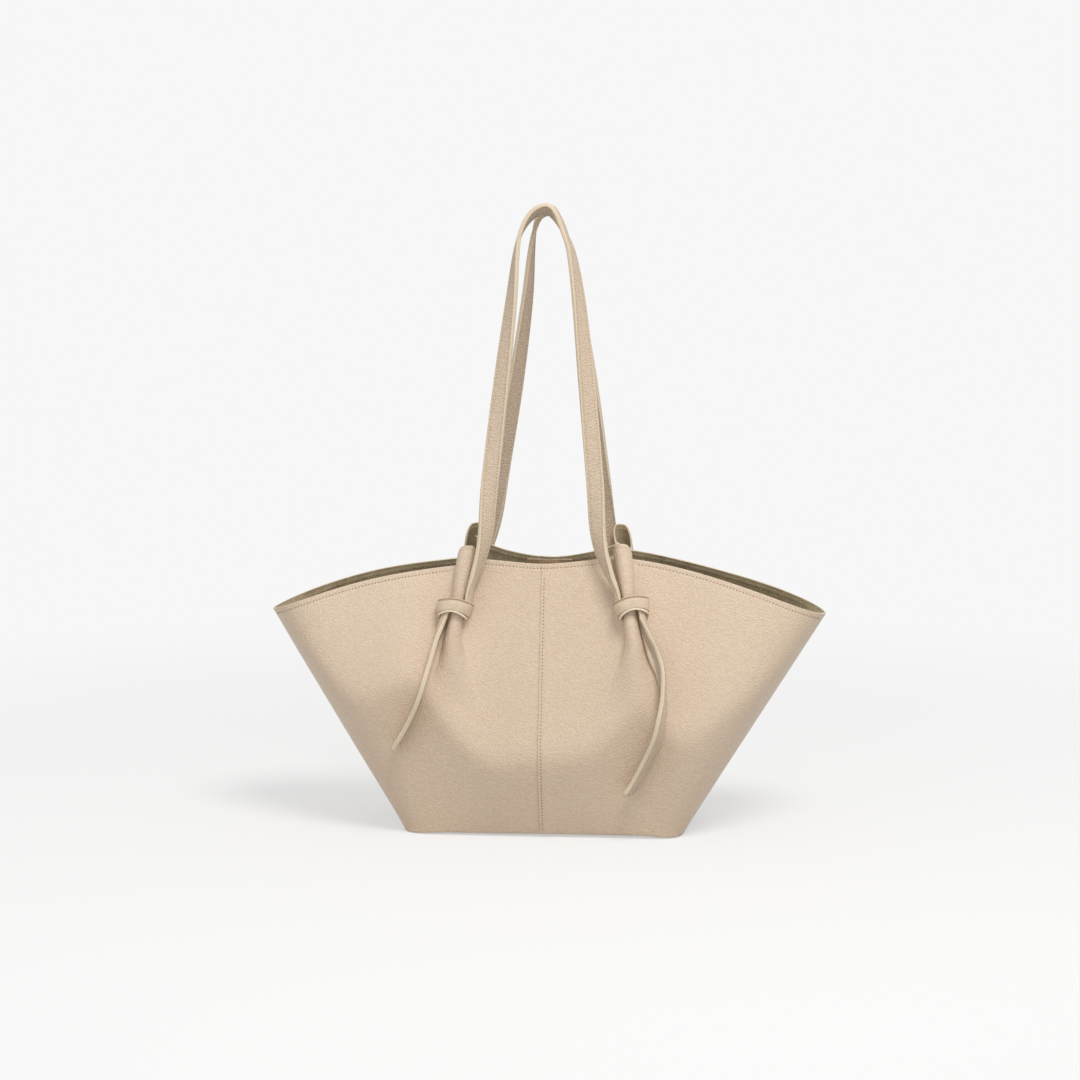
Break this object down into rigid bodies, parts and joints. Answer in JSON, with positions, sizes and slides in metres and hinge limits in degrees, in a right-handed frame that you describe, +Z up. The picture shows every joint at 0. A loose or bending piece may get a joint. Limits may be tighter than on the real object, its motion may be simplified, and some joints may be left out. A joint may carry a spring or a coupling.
{
  "type": "leather tote bag",
  "caption": "Open leather tote with a fan-shaped mouth, a boxed base, knotted folds and long shoulder handles whose ends hang as tails.",
  "frame": {"origin": "middle of the underside of the base", "axes": "+Z up towards the handles, +X to the right across the width as seen from the front, and the front faces -Y"},
  "size_m": [0.5038, 0.1872, 0.5652],
  "materials": {
    "grain_leather": "pebbled grain leather, light beige, soft sheen, raw olive-grey suede on the inner face",
    "strap_leather": "pebbled grain leather, light beige, cut cream edges, sewn near both edges",
    "strap_lining": "the strap's inner ply in the same leather, a little darker",
    "facing_leather": "plain brown facing leather",
    "base_board": "dull pressed fibre board",
    "snap_metal": "plated light gold",
    "magnet": "dark magnet ring"
  },
  "bodies": {
    "bag": {"front_left_panel": "grain_leather", "front_right_panel": "grain_leather", "back_left_panel": "grain_leather", "back_right_panel": "grain_leather", "base_panel": "grain_leather", "base_board": "base_board", "front_snap_patch": "facing_leather", "back_snap_patch": "facing_leather", "snap_socket": "snap_metal", "snap_magnet": "magnet", "socket_washer": "snap_metal", "snap_stud": "snap_metal", "stud_washer": "snap_metal", "front_left_knot": "strap_leather", "front_right_knot": "strap_leather", "back_left_knot": "strap_leather", "back_right_knot": "strap_leather"},
    "front_handle": {"front_handle_outer": "strap_leather", "front_handle_lining": "strap_lining"},
    "back_handle": {"back_handle_outer": "strap_leather", "back_handle_lining": "strap_lining"},
    "front_left_tail": {"front_left_tail_outer": "strap_leather", "front_left_tail_lining": "strap_lining"},
    "front_right_tail": {"front_right_tail_outer": "strap_leather", "front_right_tail_lining": "strap_lining"},
    "back_left_tail": {"back_left_tail_outer": "strap_leather", "back_left_tail_lining": "strap_lining"},
    "back_right_tail": {"back_right_tail_outer": "strap_leather", "back_right_tail_lining": "strap_lining"}
  },
  "joints": [
    {"name": "front_handle_swing", "type": "hinge", "parent": "bag", "child": "front_handle", "pos_m": [0, -0.05787, 0.22024], "axis": [1, 0, 0], "range_deg": [0, 100]},
    {"name": "back_handle_swing", "type": "hinge", "parent": "bag", "child": "back_handle", "pos_m": [0, 0.05787, 0.22024], "axis": [-1, 0, 0], "range_deg": [0, 100]},
    {"name": "front_left_tail_swing", "type": "hinge", "parent": "bag", "child": "front_left_tail", "pos_m": [-0.08542, -0.06226, 0.20067], "axis": [-1, 0, 0], "range_deg": [0, 70]},
    {"name": "front_right_tail_swing", "type": "hinge", "parent": "bag", "child": "front_right_tail", "pos_m": [0.08942, -0.06226, 0.20067], "axis": [-1, 0, 0], "range_deg": [0, 70]},
    {"name": "back_left_tail_swing", "type": "hinge", "parent": "bag", "child": "back_left_tail", "pos_m": [-0.08942, 0.06226, 0.20067], "axis": [1, 0, 0], "range_deg": [0, 70]},
    {"name": "back_right_tail_swing", "type": "hinge", "parent": "bag", "child": "back_right_tail", "pos_m": [0.08542, 0.06226, 0.20067], "axis": [1, 0, 0], "range_deg": [0, 70]}
  ]
}
